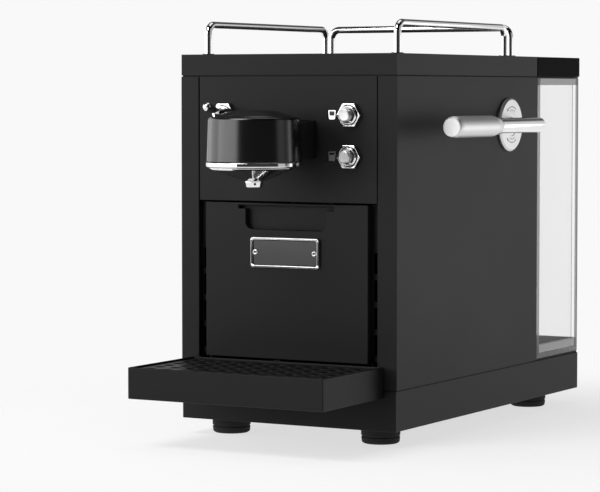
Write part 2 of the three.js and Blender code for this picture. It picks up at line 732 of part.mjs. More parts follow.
function waterTank() {
  const { half, front, back, bottom, top, wall, corner } = tank;
  const outer = upright(rectangle([-half, half], [front, back], corner), [bottom, top]);
  const inner = rectangle([-half + wall, half - wall], [front + wall, back - wall], corner / 2);
  const inside = upright(inner, [bottom + 4, top + 1]);
  const outlet = bar('z', valve.outer + gap + 0.1, [bottom - 1, bottom + 5], [0, valve.y, 0], 24);
  return piece('water_tank', cut(outer, inside, outlet), clearPlastic);
}

// Spring-valve housing in the tank's floor: an inverted cup that drops over the dock's nipple.
function tankValve() {
  const { outer, inner, top } = valve;
  const low = tank.bottom + 0.4;
  const outline = [
    [inner, low], [outer, low], [outer, top], [0, top], [0, top - 2], [inner, top - 2], [inner, low],
  ];
  return piece('tank_valve', turned('z', outline, [0, valve.y, 0], 24), blackPlastic);
}

// Lid shell with a locating rim that sits inside the tank's mouth.
function tankLid() {
  const half = casing.lidHalf;
  const front = casing.front + 1;
  const back = casing.depth;
  const { lidBottom, lidTop } = level;
  const shell = block([-half, half], [front, back], [lidBottom, lidTop]);
  const skin = sheet + 0.3;
  const hollow = block(
    [-half + skin, half - skin], [front + skin, back - skin], [lidBottom - 1, lidTop - skin]);
  const reach = tank.wall + 1.2;
  const rim = (inset, limits) => block(
    [-tank.half + reach + inset, tank.half - reach - inset],
    [tank.front + reach + inset, tank.back - reach - inset], limits);
  const locating = cut(rim(0, [228, lidTop - 1]), rim(sheet, [227, lidTop - skin]));
  return piece('tank_lid', join(cut(shell, hollow), locating), blackSteel);
}

// ---- assembly ----

const machine = new THREE.Group();
machine.add(
  basePan(), mainsInlet(), ...feet(), sidePanel(-1), sidePanel(1), frontPanel(),
  hookStrip(-1), hookStrip(1), topLid(), ...cupRails(), rearBulkhead(), tankDock(), drawerShelf(),
  headNeck(), ...brewHead(), ...fixedButtonParts(), ...toggleMount(), leverPlate(),
  brewFrame(), piercePlate(), capsuleChute(), rodGuide(),
  thermoblock(), pump(), controlBoard(), ...hoses(),
  leverShaft(), leverRod(), leverGrip(), plungerCup(), plungerRod(),
  toggleLever(), buttonCap(0), buttonCap(1),
  drawerFront(), capsuleBin(), ...badgeParts(), dripTray(), dripGrid(),
  waterTank(), tankValve(), tankLid(),
);
machine.position.set(-originX, -originY, foot.height);

const coffeeMachine = new THREE.Group();
coffeeMachine.add(machine);

export default coffeeMachine;
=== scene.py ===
import json
import math

import bmesh
import bpy
from mathutils import Matrix, Vector
from mathutils.geometry import tessellate_polygon


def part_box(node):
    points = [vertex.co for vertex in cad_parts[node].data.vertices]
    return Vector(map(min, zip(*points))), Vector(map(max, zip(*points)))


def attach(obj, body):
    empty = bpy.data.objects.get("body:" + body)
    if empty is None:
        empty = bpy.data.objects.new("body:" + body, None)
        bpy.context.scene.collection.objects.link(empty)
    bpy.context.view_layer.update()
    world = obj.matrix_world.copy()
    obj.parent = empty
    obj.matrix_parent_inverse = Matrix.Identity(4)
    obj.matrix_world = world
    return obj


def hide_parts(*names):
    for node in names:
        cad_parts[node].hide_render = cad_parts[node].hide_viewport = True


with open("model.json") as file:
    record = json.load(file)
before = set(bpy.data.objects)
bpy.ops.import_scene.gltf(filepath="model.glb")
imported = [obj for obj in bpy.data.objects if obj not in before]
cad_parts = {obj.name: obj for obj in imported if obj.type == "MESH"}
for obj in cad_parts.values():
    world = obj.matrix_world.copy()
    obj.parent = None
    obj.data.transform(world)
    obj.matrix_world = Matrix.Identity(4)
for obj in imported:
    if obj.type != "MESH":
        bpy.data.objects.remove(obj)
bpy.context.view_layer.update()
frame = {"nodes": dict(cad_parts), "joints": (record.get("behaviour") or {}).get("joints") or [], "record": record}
scene = bpy.context.scene
toMetres = 0.001  # shapes below are worked out in millimetres, in the machine's own frame


# Shader graphs

class Wire:  # one output socket, on which shader maths is written as plain Python
    def __init__(self, graph, socket):
        self.graph = graph
        self.socket = socket

    def __add__(self, other):
        return self.graph.maths("ADD", self, other)

    def __radd__(self, other):
        return self.graph.maths("ADD", other, self)

    def __sub__(self, other):
        return self.graph.maths("SUBTRACT", self, other)

    def __rsub__(self, other):
        return self.graph.maths("SUBTRACT", other, self)

    def __mul__(self, other):
        return self.graph.maths("MULTIPLY", self, other)

    def __rmul__(self, other):
        return self.graph.maths("MULTIPLY", other, self)


class Graph:
    def __init__(self, tree):
        self.tree = tree

    def add(self, kind, settings=None, sockets=None, out=0):
        node = self.tree.nodes.new("ShaderNode" + kind)
        for key, value in (settings or {}).items():
            if key == "stops":
                self.setStops(node.color_ramp.elements, value)
            else:
                setattr(node, key, value)
        for key, value in (sockets or {}).items():
            self.feed(node.inputs[key], value)
        return Wire(self, node.outputs[out])

    def setStops(self, elements, stops):
        for place, tone in stops[2:]:
            elements.new(place)
        for element, (place, tone) in zip(elements, sorted(stops)):
            element.position = place
            element.color = (tone, tone, tone, 1)

    def feed(self, socket, value):
        if isinstance(value, Wire):
            self.tree.links.new(value.socket, socket)
        else:
            socket.default_value = value

    def maths(self, operation, first, second):
        return self.add("Math", {"operation": operation}, {0: first, 1: second})

    def blend(self, factor, first, second):
        return self.add("Mix", {"data_type": "RGBA"}, {0: factor, 6: first, 7: second}, 2)

    def stretch(self, vector, factors):
        return self.add("VectorMath", {"operation": "MULTIPLY"}, {0: vector, 1: factors})

    def noise(self, vector, scale, detail=2.0):
        sockets = {"Vector": vector, "Scale": scale, "Detail": detail, "Roughness": 0.55}
        return self.add("TexNoise", {}, sockets)

    def ramp(self, value, *stops):
        return self.add("ValToRGB", {"stops": stops}, {0: value})


class Finish(Graph):  # one material, and what feeds its shader
    def __init__(self, name, fixed):
        self.material = bpy.data.materials.new(name)
        self.material.use_nodes = True
        super().__init__(self.material.node_tree)
        self.shader = self.tree.nodes["Principled BSDF"]
        for socket, value in fixed.items():
            self.paint(socket, value)
        self.place = self.add("TexCoord", {}, {}, "Object")

    def paint(self, socket, value):
        self.feed(self.shader.inputs[socket], value)

    def relief(self, height, strength, distance):
        sockets = {"Height": height, "Strength": strength, "Distance": distance}
        self.paint("Normal", self.add("Bump", {}, sockets))


def grey(tone, warmth=0.0):
    return (tone * (1 + warmth), tone, tone * (1 - warmth), 1)


# Fine, slightly sparkling powder paint on steel.
def powderPaint(name, look):
    finish = Finish(name, {"Specular IOR Level": look["shine"]})
    grain = finish.noise(finish.place, look["grain"], 3)
    cloud = finish.noise(finish.place, look["cloud"], 3)
    mix = grain * 0.7 + cloud * 0.3
    finish.paint("Base Color", finish.blend(mix, grey(look["deep"]), grey(look["pale"])))
    finish.paint("Roughness", look["roughness"] + (cloud - 0.5) * look["uneven"])
    finish.relief(grain, look["relief"], 0.0003)
    return finish.material


# Polished plating with faint handling marks.
def polished(name, look):
    finish = Finish(name, {"Metallic": 1.0})
    smudge = finish.noise(finish.place, look["smudge"], 4)
    fine = finish.noise(finish.place, look["fine"], 2)
    finish.paint("Base Color", finish.blend(smudge, grey(look["tone"]), grey(look["tone"] * 0.93)))
    finish.paint("Roughness", look["roughness"] + smudge * look["uneven"])
    finish.relief(fine, look["relief"], 0.0001)
    return finish.material


# Metal turned or brushed one way: the lines are short along the stretched axis.
def lined(name, look):
    finish = Finish(name, {"Metallic": 1.0})
    lines = finish.noise(finish.stretch(finish.place, look["stretch"]), look["lines"], 4)
    cloud = finish.noise(finish.place, look["cloud"], 3)
    tone = look["tone"]
    finish.paint("Base Color", finish.blend(lines, grey(tone * 0.86), grey(tone)))
    finish.paint("Roughness", look["roughness"] + (lines - 0.5) * 0.16 + (cloud - 0.5) * 0.08)
    finish.relief(lines, look["relief"], 0.0001)
    return finish.material


# Rough cast metal, moulded plastic, rubber and board, by their grain.
def grained(name, look, fixed=None):
    finish = Finish(name, fixed or {})
    grain = finish.noise(finish.place, look["grain"], 4)
    cloud = finish.noise(finish.place, look["cloud"], 2)
    mix = grain * 0.6 + cloud * 0.4
    finish.paint("Base Color", finish.blend(mix, look["deep"], look["pale"]))
    finish.paint("Roughness", look["roughness"] + (grain - 0.5) * look["uneven"])
    finish.relief(grain, look["relief"], 0.0004)
    return finish.material


# Clear moulded plastic, a little milky, with faint flow marks.
def clearMoulding(name, look):
    finish = Finish(name, {"Specular IOR Level": 0.5, "Coat Weight": 0.0})
    flow = finish.noise(finish.stretch(finish.place, (1, 1, 0.25)), look["flow"], 3)
    finish.paint("Base Color", finish.blend(flow, grey(look["tone"]), grey(look["tone"] * 0.97)))
    finish.paint("Roughness", look["roughness"] + flow * 0.05)
    finish.paint("Alpha", look["milk"] + (flow - 0.5) * 0.04)
    finish.relief(flow, 0.05, 0.0002)
    return finish.material


# Window over a lamp; glow is what its drawing gives off.
def lampWindow(name, look):
    finish = Finish(name, {"Emission Strength": look["glow"]})
    haze = finish.noise(finish.place, look["haze"], 2)
    finish.paint("Base Color", finish.blend(haze, grey(look["deep"]), grey(look["pale"])))
    finish.paint("Emission Color", finish.blend(haze, grey(look["pale"]), grey(look["pale"] * 0.9)))
    finish.paint("Roughness", 0.28 + haze * 0.1)
    return finish.material


finishes = {
    "black_steel": powderPaint("black_steel", {
        "deep": 0.007, "pale": 0.014, "grain": 1700, "cloud": 14, "roughness": 0.44,
        "uneven": 0.08, "relief": 0.16, "shine": 0.13}),
    "satin_black": powderPaint("satin_black", {
        "deep": 0.001, "pale": 0.003, "grain": 2600, "cloud": 20, "roughness": 0.22,
        "uneven": 0.06, "relief": 0.05, "shine": 0.75}),
    "chrome": polished("chrome", {
        "tone": 0.88, "smudge": 90, "fine": 900, "roughness": 0.04, "uneven": 0.05, "relief": 0.006}),
    "brushed_steel": lined("brushed_steel", {
        "tone": 0.74, "stretch": (0.15, 1, 0.15), "lines": 1500, "cloud": 60, "roughness": 0.42,
        "relief": 0.08}),
    "cast_aluminium": grained("cast_aluminium", {
        "deep": grey(0.34), "pale": grey(0.46), "grain": 900, "cloud": 40, "roughness": 0.5,
        "uneven": 0.2, "relief": 0.3}, {"Metallic": 1.0}),
    "black_rubber": grained("black_rubber", {
        "deep": grey(0.008), "pale": grey(0.02), "grain": 1200, "cloud": 60, "roughness": 0.8,
        "uneven": 0.12, "relief": 0.2}, {"Specular IOR Level": 0.3}),
    "black_plastic": grained("black_plastic", {
        "deep": grey(0.012), "pale": grey(0.022), "grain": 1400, "cloud": 30, "roughness": 0.45,
        "uneven": 0.1, "relief": 0.12}),
    "clear_plastic": clearMoulding("clear_plastic", {
        "tone": 0.95, "flow": 26, "roughness": 0.1, "milk": 0.06}),
    "lit_window": lampWindow("lit_window", {"deep": 0.7, "pale": 0.95, "haze": 700, "glow": 0.9}),
    "unlit_window": lampWindow("unlit_window", {"deep": 0.08, "pale": 0.13, "haze": 700, "glow": 0.0}),
    "board_green": grained("board_green", {
        "deep": (0.008, 0.06, 0.025, 1), "pale": (0.02, 0.12, 0.05, 1), "grain": 700, "cloud": 160,
        "roughness": 0.4, "uneven": 0.2, "relief": 0.2}),
    "hose_white": grained("hose_white", {
        "deep": grey(0.62, 0.02), "pale": grey(0.74, 0.01), "grain": 600, "cloud": 50,
        "roughness": 0.42, "uneven": 0.12, "relief": 0.06}),
}
# A darker, almost unshiny copy of the black paint, for the tank lid: painted shade.
lidSteelShaded = powderPaint("lid_steel_painted_shade", {
    "deep": 0.002, "pale": 0.005, "grain": 1700, "cloud": 14, "roughness": 0.5, "uneven": 0.08,
    "relief": 0.16, "shine": 0.015})
# Darker clear plastic: painted shade where thick plastic is seen edge on.
edgeOnShade = clearMoulding("clear_plastic_edge_shade", {
    "tone": 0.16, "flow": 40, "roughness": 0.15, "milk": 0.78})
frosted = clearMoulding("frosted_plastic", {
    "tone": 0.5, "flow": 60, "roughness": 0.4, "milk": 0.88})
engraving = grained("engraving", {
    "deep": grey(0.05), "pale": grey(0.12), "grain": 1800, "cloud": 200, "roughness": 0.6,
    "uneven": 0.2, "relief": 0.1})
# Near-black fill for gaps, holes and sockets: painted shade.
shadeFill = grained("painted_shade_fill", {
    "deep": grey(0.002), "pale": grey(0.006), "grain": 900, "cloud": 100, "roughness": 0.8,
    "uneven": 0.1, "relief": 0.1})
print("finishes ready:", len(finishes))


# Shapes

def boxOf(node):  # low, high, middle and size of a CAD node, in millimetres
    low, high = (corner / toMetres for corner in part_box(node))
    return low, high, (low + high) / 2, high - low


# Corners given as (a, b, radius) become arcs; the others stay as they are.
def filleted(points, closed=True, steps=6):
    made = []
    count = len(points)
    for i, (point, radius) in enumerate(points):
        ends = not closed and i in (0, count - 1)
        if radius <= 0 or ends:
            made.append(point)
            continue
        before = points[i - 1][0] - point
        after = points[(i + 1) % count][0] - point
        half = before.angle(after) / 2
        reach = min(radius / math.tan(half), 0.49 * before.length, 0.49 * after.length)
        radius = reach * math.tan(half)
        centre = point + (before.normalized() + after.normalized()).normalized() * radius / math.sin(half)
        start = point + before.normalized() * reach - centre
        end = point + after.normalized() * reach - centre
        spread = start.angle(end)
        for k in range(steps + 1):
            t = k / steps
            mixed = start * math.sin((1 - t) * spread) + end * math.sin(t * spread)
            made.append(centre + mixed / math.sin(spread))
    return made


def corners(points, steps=6, closed=True):
    pairs = [(Vector(p[:2]), p[2] if len(p) > 2 else 0) for p in points]
    return filleted(pairs, closed, steps)


def roundRect(low, high, radius, steps=6):
    (a, b), (c, d) = low, high
    return corners([(a, b, radius), (c, b, radius), (c, d, radius), (a, d, radius)], steps)


def ring(centre, radius, count=48):
    turns = [2 * math.pi * (i + 0.5) / count for i in range(count)]
    return [Vector((centre[0] + radius * math.cos(t), centre[1] + radius * math.sin(t))) for t in turns]


def hexagon(centre, reach, radius=0.0):
    turns = [math.radians(60 * i) for i in range(6)]
    return [(centre[0] + reach * math.cos(t), centre[1] + reach * math.sin(t), radius) for t in turns]


def arcBand(centre, radius, width, start, end, steps=20):
    band = []
    inward = (radius - width / 2, range(steps + 1))
    outward = (radius + width / 2, range(steps, -1, -1))
    for reach, order in (inward, outward):
        for i in order:
            t = math.radians(start + (end - start) * i / steps)
            band.append(Vector((centre[0] + reach * math.cos(t), centre[1] + reach * math.sin(t))))
    return band


def settle(work, name, crisp=32):
    bmesh.ops.scale(work, vec=(toMetres,) * 3, verts=work.verts)
    bmesh.ops.recalc_face_normals(work, faces=work.faces)
    mesh = bpy.data.meshes.new(name)
    work.to_mesh(mesh)
    work.free()
    mesh.shade_smooth()
    mesh.set_sharp_from_angle(angle=math.radians(crisp))
    piece = bpy.data.objects.new(name, mesh)
    scene.collection.objects.link(piece)
    even = piece.modifiers.new("even_shading", "WEIGHTED_NORMAL")
    even.keep_sharp = True
    return piece


def skinRings(work, rings, closed):
    pairs = list(zip(rings, rings[1:])) + ([(rings[-1], rings[0])] if closed else [])
    for first, second in pairs:
        count = max(len(first), len(second))
        for i in range(count if count > 1 else 0):
            j = (i + 1) % count
            quad = [first[i % len(first)], first[j % len(first)]]
            quad += [second[j % len(second)], second[i % len(second)]]
            work.faces.new(list(dict.fromkeys(quad)))


def circle(work, centre, side, up, radius, count):
    turns = [2 * math.pi * i / count for i in range(count)]
    return [work.verts.new(centre + radius * (side * math.cos(t) + up * math.sin(t))) for t in turns]


# (radius, distance) points round part of a ball, for turning.
def ballPoints(radius, middle, angles):
    turns = [math.radians(angle) for angle in angles]
    return [(radius * math.cos(t), middle + radius * math.sin(t)) for t in turns]


# Turns (radius, distance) points about an axis through a centre.
def turned(name, axis, centre, outline, steps=96):
    axis = Vector(axis)
    side = axis.orthogonal().normalized()
    up = axis.cross(side)
    points = corners(outline, closed=outline[0][0] > 0)
    work = bmesh.new()
    rings = []
    for radius, distance in points:
        base = Vector(centre) + axis * distance
        if radius < 1e-6:
            rings.append([work.verts.new(base)])
            continue
        rings.append(circle(work, base, side, up, radius, steps))
    skinRings(work, rings, closed=outline[0][0] > 0)
    return settle(work, name)


def insetLoop(loop, distance):
    made = []
    for i, point in enumerate(loop):
        before = (point - loop[i - 1]).normalized()
        after = (loop[(i + 1) % len(loop)] - point).normalized()
        first, second = Vector((-before.y, before.x)), Vector((-after.y, after.x))
        made.append(point + (first + second) * distance / (1 + max(first.dot(second), -0.5)))
    return made


def loopArea(loop):
    return sum(a.x * b.y - b.x * a.y for a, b in zip(loop, loop[1:] + loop[:1])) / 2


spots = {
    "xy": lambda a, b, c: (a, b, c),
    "xz": lambda a, b, c: (a, c, b),
    "yz": lambda a, b, c: (c, a, b),
}


# A plate drawn in one plane, with thickness across it. The first loop is the rim, the rest are holes.
def addPlate(work, plane, loops, span, edge=0.4, steps=3):
    low, high = span
    levels = []
    for k in range(steps + 1):
        turn = math.pi / 2 * k / steps
        levels.append((edge * (1 - math.sin(turn)), low + edge * (1 - math.cos(turn))))
    levels += [(inset, low + high - level) for inset, level in reversed(levels)]
    loops = [loop if (loopArea(loop) > 0) == (i == 0) else loop[::-1] for i, loop in enumerate(loops)]
    caps = ([], [])
    for loop in loops:
        rings = []
        for inset, level in levels:
            flat = insetLoop(loop, inset)
            rings.append([work.verts.new(spots[plane](p.x, p.y, level)) for p in flat])
        skinRings(work, rings, closed=False)
        caps[0].append(rings[0])
        caps[1].append(rings[-1])
    for cap in caps:
        flat = [vert for loop in cap for vert in loop]
        for triangle in tessellate_polygon([[vert.co for vert in loop] for loop in cap]):
            work.faces.new([flat[i] for i in triangle])


def plate(name, plane, loops, span, edge=0.4, steps=3):
    work = bmesh.new()
    addPlate(work, plane, loops, span, edge, steps)
    return settle(work, name)


def tube(name, points, radius, bend, sides=20):
    path = filleted([(Vector(p), bend) for p in points], closed=False, steps=12)
    work = bmesh.new()
    rings = []
    side = None
    for i, point in enumerate(path):
        run = (path[min(i + 1, len(path) - 1)] - path[max(i - 1, 0)]).normalized()
        side = side or run.orthogonal()
        side = (side - run * side.dot(run)).normalized()
        rings.append(circle(work, point, side, run.cross(side), radius, sides))
    skinRings(work, rings, closed=False)
    work.faces.new(rings[0])
    work.faces.new(rings[-1])
    return settle(work, name, crisp=50)


# A copy of a folded or moulded CAD node with its edges eased.
def eased(node, edge, steps=3):
    work = bmesh.new()
    work.from_mesh(frame["nodes"][node].data)
    bmesh.ops.scale(work, vec=(1 / toMetres,) * 3, verts=work.verts)
    bmesh.ops.remove_doubles(work, verts=work.verts, dist=0.001)
    bmesh.ops.dissolve_limit(work, angle_limit=math.radians(3), verts=work.verts, edges=work.edges)
    sharp = [e for e in work.edges if len(e.link_faces) == 2 and e.calc_face_angle(0) > math.radians(40)]
    bmesh.ops.bevel(work, geom=sharp, offset=edge, segments=steps, profile=0.5, affect="EDGES",
                    clamp_overlap=True)
    return settle(work, node + "_eased")


def dress(piece, body, slotName, replaced=(), material=None):
    piece.data.materials.append(material or finishes[slotName])
    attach(piece, body)
    if replaced:
        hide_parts(*replaced)
    return piece


# Casing

casingLook = {
    "base_pan": 0.9, "left_side_panel": 0.7, "right_side_panel": 0.7, "top_lid": 0.7,
    "head_neck": 0.8, "rear_bulkhead": 0.5, "drawer_shelf": 0.4,
}


def makeCasing():
    for node, edge in casingLook.items():
        dress(eased(node, edge), "casing", "black_steel", [node])


panelLook = {"edge": 0.35, "clear": 0.35, "windowClear": 0.3}


def makeFrontPanel():
    low, high, _, _ = boxOf("front_panel")
    holes = []
    for node in ("toggle_bushing", "lower_button_body", "upper_button_body"):
        _, _, centre, across = boxOf(node)
        holes.append(ring((centre.x, centre.z), across.x / 2 + panelLook["clear"]))
    for node in ("lower_button_light", "upper_button_light", "head_neck"):
        start, end, _, _ = boxOf(node)
        more = panelLook["windowClear"]
        corner = (start.x - more, start.z - more)
        holes.append(roundRect(corner, (end.x + more, end.z + more), 0.5, 3))
    rim = roundRect((low.x, low.z), (high.x, high.z), 0.4, 2)
    made = plate("front_panel_sheet", "xz", [rim] + holes, (low.y, high.y), panelLook["edge"])
    dress(made, "casing", "black_steel", ["front_panel"])


stripLook = {
    "slots": 5, "pitch": 18.05, "height": 14, "first": 2.6, "slotInset": 1.4, "slotWidth": 4.8,
}


def makeHookStrips():
    for side in ("left", "right"):
        low, high, _, _ = boxOf(side + "_hook_strip")
        inner, outward = (high.x, -1) if side == "left" else (low.x, 1)
        start = inner + outward * stripLook["slotInset"]
        end = start + outward * stripLook["slotWidth"]
        loops = [roundRect((low.x, low.z), (high.x, high.z), 0.3, 2)]
        for i in range(stripLook["slots"]):
            bottom = low.z + stripLook["first"] + i * stripLook["pitch"]
            corner = (min(start, end), bottom)
            loops.append(roundRect(corner, (max(start, end), bottom + stripLook["height"]), 0.8, 4))
        made = plate(side + "_ladder_strip", "xz", loops, (low.y, high.y), 0.3)
        dress(made, "casing", "black_steel", [side + "_hook_strip"])


railLook = {"bend": 6.5, "collar": 4.1, "collarHeight": 0.7, "bite": 0.3}


def makeRails():
    lidTop = boxOf("top_lid")[1].z
    for name in ("left", "right", "rear"):
        low, high, mid, size = boxOf(name + "_cup_rail")
        radius = min(size.x, size.y) / 2
        top = high.z - radius
        if size.y > size.x:
            ends = [(mid.x, low.y + radius), (mid.x, high.y - radius)]
        else:
            ends = [(low.x + radius, mid.y), (high.x - radius, mid.y)]
        path = [(*ends[0], low.z), (*ends[0], top), (*ends[1], top), (*ends[1], low.z)]
        bar = tube(name + "_rail_bar", path, radius, railLook["bend"])
        dress(bar, "casing", "chrome", [name + "_cup_rail"])
        for i, end in enumerate(ends):
            reach, height = railLook["collar"], railLook["collarHeight"]
            inside = radius - railLook["bite"]
            outline = [(inside, 0), (reach, 0), (reach, height, 0.4), (inside, height)]
            collar = turned(f"{name}_rail_collar_{i + 1}", (0, 0, 1), (*end, lidTop), outline, 48)
            dress(collar, "casing", "satin_black")


footLook = {"grooveAt": 0.45, "groove": 0.7, "pad": 2.0, "screw": 3.2}


def makeFeet():
    for name in ("front_left", "front_right", "rear_left", "rear_right"):
        low, _, mid, size = boxOf("foot_" + name)
        radius, height = size.x / 2, size.z
        groove = footLook["groove"]
        middle = height * footLook["grooveAt"]
        outline = [
            (0, 1.4), (footLook["screw"], 1.4), (footLook["screw"], 0, 0.4),
            (radius - footLook["pad"], 0, 0.6), (radius - 0.6, 0.9, 1.0),
            (radius - 0.2, middle - groove, 0.3), (radius - 0.2 - groove, middle, 0.3),
            (radius - 0.1, middle + groove, 0.3),
            (radius, height - 0.8, 0.6), (radius - 1, height, 0.5), (0, height),
        ]
        made = turned(f"foot_pad_{name}", (0, 0, 1), (mid.x, mid.y, low.z), outline, 72)
        dress(made, "casing", "black_rubber", ["foot_" + name])


inletLook = {
    "wall": 2.0, "corner": 1.6, "depth": 15, "pins": [(-7, 1.5), (0, -3), (7, 1.5)], "pinHalf": (1, 2),
}


def makeInlet():
    low, high, mid, _ = boxOf("mains_inlet")
    wall, corner = inletLook["wall"], inletLook["corner"]
    rim = roundRect((low.x, low.z), (high.x, high.z), corner)
    hole = roundRect((low.x + wall, low.z + wall), (high.x - wall, high.z - wall), corner)
    floor = high.y - inletLook["depth"]
    work = bmesh.new()
    addPlate(work, "xz", [rim, hole], (floor, high.y), 0.5)
    addPlate(work, "xz", [rim], (low.y, floor - 0.01), 0.5)
    dress(settle(work, "inlet_shell"), "casing", "black_plastic", ["mains_inlet"])
    for i, (across, up) in enumerate(inletLook["pins"]):
        x, z = mid.x + across, mid.z + up
        wide, tall = inletLook["pinHalf"]
        blade = roundRect((x - wide, z - tall), (x + wide, z + tall), 0.6, 4)
        pin = plate(f"inlet_pin_{i + 1}", "xz", [blade], (floor - 1, high.y - 3), 0.5)
        dress(pin, "casing", "chrome")


shadeStripLook = {"setBack": 0.8, "width": 1.2, "slack": 0.05}


# Thin near-black strips fill the gaps under the lid and on top of the base: painted shade, standing in for the
# shadow in those gaps.
def makeShadeStrips():
    low, high, _, _ = boxOf("right_side_panel")
    left = boxOf("left_side_panel")[0].x
    loops = []
    for step in (shadeStripLook["setBack"], shadeStripLook["setBack"] + shadeStripLook["width"]):
        loops.append(roundRect((left + step, low.y + step), (high.x - step, high.y - step), 0.3, 2))
    gaps = {
        "lid_shade_strip": (boxOf("front_panel")[1].z, boxOf("top_lid")[0].z),
        "base_shade_strip": (boxOf("base_pan")[1].z, low.z),
    }
    for name, span in gaps.items():
        dress(plate(name, "xy", loops, span, 0.05, 1), "casing", "black_rubber", material=shadeFill)


makeCasing()
makeShadeStrips()
makeFrontPanel()
makeHookStrips()
makeRails()
makeFeet()
makeInlet()
print("casing ready")


# Brew head

headLook = {
    "wall": 2.5, "dome": 4.8, "shoulder": 2.6, "ledge": 5.2, "ringWall": 4.5, "screwHeight": 7.2,
    "screwRadius": 1.15,
}


def makeHead():
    low, _, mid, size = boxOf("head_cap")
    radius, height = size.x / 2, size.z
    wall = headLook["wall"]
    edge = height - headLook["dome"]
    ledge = radius - headLook["ledge"]
    cap = [
        (radius - wall, 0), (radius, 0, 0.5), (radius - 1, edge, headLook["shoulder"]),
        (ledge, edge + 0.25, 0.5), (ledge - 0.8, edge + 0.75, 0.4),
        (radius * 0.45, height - 0.6, 12), (0, height),
        (0, height - wall), (radius - 7, edge - wall), (radius - wall - 1, edge - 6),
    ]
    crown = turned("head_shell", (0, 0, 1), (mid.x, mid.y, low.z), cap, 160)
    dress(crown, "casing", "satin_black", ["head_cap"])

    rimLow, _, rimMid, rimSize = boxOf("head_rim")
    reach, deep = rimSize.x / 2, rimSize.z
    inside = reach - headLook["ringWall"]
    rim = [(inside, 0), (reach - 0.4, 0, 0.8), (reach, 0.7, 0.6), (reach, deep, 0.4), (inside, deep)]
    made = turned("head_ring", (0, 0, 1), (rimMid.x, rimMid.y, rimLow.z), rim, 160)
    dress(made, "casing", "chrome", ["head_rim"])

    reach = headLook["screwRadius"]
    socket = reach * 0.5
    screw = [(0, -1.2), (socket, -1.2), (socket, 0.05), (reach, 0.05, 0.25), (reach, -2), (0, -2)]
    place = (mid.x, low.y + 0.55, low.z + headLook["screwHeight"])
    dress(turned("head_set_screw", (0, -1, 0), place, screw, 32), "casing", "satin_black")


spoutLook = {
    "bore": 3.0, "collar": 5.4, "tip": 4.6, "windows": 4, "windowSize": 1.5, "windowTurn": 35,
    "windowHeight": 2.2,
}


def makeSpout():
    low, _, mid, size = boxOf("head_funnel")
    reach, deep = size.x / 2, size.z
    hole = boxOf("spout")[3].x / 2 + 0.4
    funnel = [
        (hole, 0), (hole + 1.5, 0, 0.3), (reach - 1.5, deep - 1.4, 1.0), (reach, deep, 0.3),
        (reach - 2.4, deep), (hole, deep - 6.8),
    ]
    made = turned("funnel_cone", (0, 0, 1), (mid.x, mid.y, low.z), funnel, 160)
    dress(made, "casing", "chrome", ["head_funnel"])

    low, _, mid, size = boxOf("spout")
    reach, deep = size.x / 2, size.z
    bore, tip, collar = spoutLook["bore"], spoutLook["tip"], spoutLook["collar"]
    nozzle = [
        (bore, 0, 0.3), (reach - 0.9, 0, 0.4), (reach, tip - 1.2, 0.4), (reach - 0.3, tip, 0.4),
        (collar, tip + 0.4, 0.2), (collar, deep), (bore, deep),
    ]
    made = turned("spout_nozzle", (0, 0, 1), (mid.x, mid.y, low.z), nozzle, 96)
    dress(made, "casing", "chrome", ["spout"])
    half = spoutLook["windowSize"] / 2
    # Small near-black patches stand for the spout's windows: painted shade in the holes.
    for k in range(spoutLook["windows"]):
        turn = math.radians(spoutLook["windowTurn"] + 360 / spoutLook["windows"] * k)
        work = bmesh.new()
        addPlate(work, "xz", [roundRect((-half, -half), (half, half), 0.3, 3)], (-0.25, 0.25), 0.1)
        turning = Matrix.Rotation(turn, 3, "Z")
        bmesh.ops.rotate(work, cent=(0, 0, 0), matrix=turning, verts=work.verts)
        out = turning @ Vector((0, -(reach - 0.35), 0))
        place = Vector((mid.x, mid.y, low.z + spoutLook["windowHeight"]))
        bmesh.ops.translate(work, vec=out + place, verts=work.verts)
        dress(settle(work, f"spout_window_{k + 1}"), "casing", "satin_black", material=shadeFill)


makeHead()
makeSpout()
print("brew head ready")


# Front controls

nutLook = {"edge": 0.45, "corner": 0.7, "clear": 0.3}


def makeNut(node, hub):
    low, high, mid, size = boxOf(node)
    centre = (mid.x, mid.z)
    hole = boxOf(hub)[3].x / 2 + nutLook["clear"]
    flats = min(size.x, size.z)
    reach = flats / 2 / math.cos(math.radians(30))
    loops = [corners(hexagon(centre, reach, nutLook["corner"]), 4), ring(centre, hole)]
    made = plate(node + "_hex", "xz", loops, (low.y, high.y), nutLook["edge"])
    dress(made, "casing", "chrome", [node])


buttonLook = {
    "ringGap": 0.85, "bore": 9, "lip": 0.6, "capDish": 0.25, "capEdge": 0.5, "thread": 0.12,
    "threadPitch": 0.9,
}


def threaded(radius, start, end):
    pitch, root = buttonLook["threadPitch"], radius - buttonLook["thread"]
    points = []
    distance = start
    while distance + pitch < end:
        points += [(radius, distance), (root, distance + pitch / 2)]
        distance += pitch
    return points


